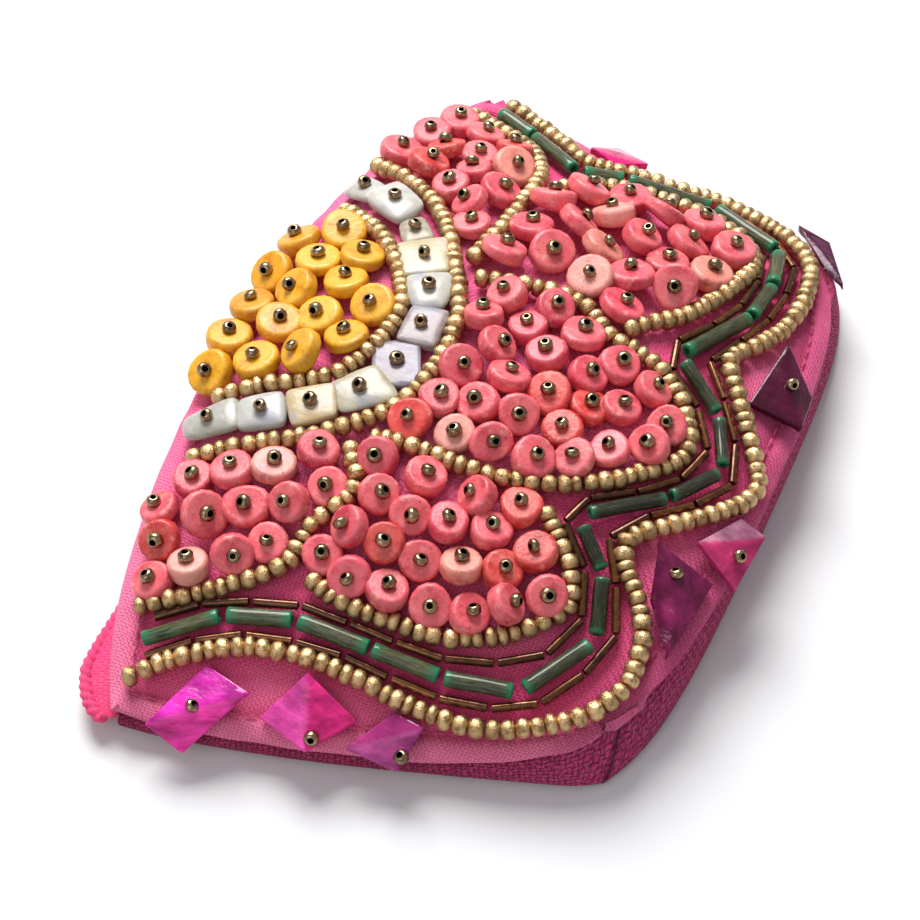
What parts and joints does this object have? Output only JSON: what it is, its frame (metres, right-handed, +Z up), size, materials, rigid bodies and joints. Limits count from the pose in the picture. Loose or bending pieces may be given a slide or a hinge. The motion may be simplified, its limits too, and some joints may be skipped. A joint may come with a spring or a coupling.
{
  "type": "beaded wallet",
  "caption": "Soft zip wallet lying on its back: hollow cloth pouch with a puffed front panel embroidered with a half flower of bead discs, bead strings, tube beads and shell diamonds.",
  "frame": {"origin": "centre of the footprint, on the surface that the wallet's back lies on", "axes": "+Z up out of the beaded front, +X from the zip to the base, +Y along the zip to the slider's end"},
  "size_m": [0.0792, 0.1248, 0.0218],
  "materials": {
    "pink_cotton": "fine plain weave",
    "rose_weave": "coarse basket weave",
    "zip_tape": "ribbed tape",
    "zip_coil": "satin coil",
    "slider_metal": "aged",
    "coral_bead": "satin, dyed",
    "mustard_bead": "satin, dyed",
    "pearl_chip": "pearly",
    "dyed_shell": "polished",
    "green_bone": "streaked dye",
    "gold_bead": "brushed",
    "copper_glass": "metallic glass"
  },
  "bodies": {
    "root": {"body_tray": "rose_weave", "bugles_inner": "copper_glass", "bugles_outer": "copper_glass", "centre_beads": "mustard_bead", "front_panel": "pink_cotton", "gold_petal_1": "gold_bead", "gold_petal_2": "gold_bead", "gold_petal_3": "gold_bead", "gold_petal_4": "gold_bead", "gold_petal_5": "gold_bead", "gold_ring_inner": "gold_bead", "gold_ring_outer": "gold_bead", "gold_scallop": "gold_bead", "pearl_chip_01": "pearl_chip", "pearl_chip_02": "pearl_chip", "pearl_chip_03": "pearl_chip", "pearl_chip_04": "pearl_chip", "pearl_chip_05": "pearl_chip", "pearl_chip_06": "pearl_chip", "pearl_chip_07": "pearl_chip", "pearl_chip_08": "pearl_chip", "pearl_chip_09": "pearl_chip", "pearl_chip_10": "pearl_chip", "pearl_chip_11": "pearl_chip", "petal_beads_1": "coral_bead", "petal_beads_2": "coral_bead", "petal_beads_3": "coral_bead", "petal_beads_4": "coral_bead", "petal_beads_5": "coral_bead", "shell_diamond_01": "dyed_shell", "shell_diamond_02": "dyed_shell", "shell_diamond_03": "dyed_shell", "shell_diamond_04": "dyed_shell", "shell_diamond_05": "dyed_shell", "shell_diamond_06": "dyed_shell", "shell_diamond_07": "dyed_shell", "shell_diamond_08": "dyed_shell", "stem_tube_01": "green_bone", "stem_tube_02": "green_bone", "stem_tube_03": "green_bone", "stem_tube_04": "green_bone", "stem_tube_05": "green_bone", "stem_tube_06": "green_bone", "stem_tube_07": "green_bone", "stem_tube_08": "green_bone", "stem_tube_09": "green_bone", "stem_tube_10": "green_bone", "stem_tube_11": "green_bone", "stem_tube_12": "green_bone", "stem_tube_13": "green_bone", "stem_tube_14": "green_bone", "stem_tube_15": "green_bone", "stem_tube_16": "green_bone", "stem_tube_17": "green_bone", "stem_tube_18": "green_bone", "stem_tube_19": "green_bone", "stem_tube_20": "green_bone", "zip_coil": "zip_coil", "zip_slider": "slider_metal", "zip_tape": "zip_tape"}
  },
  "joints": []
}
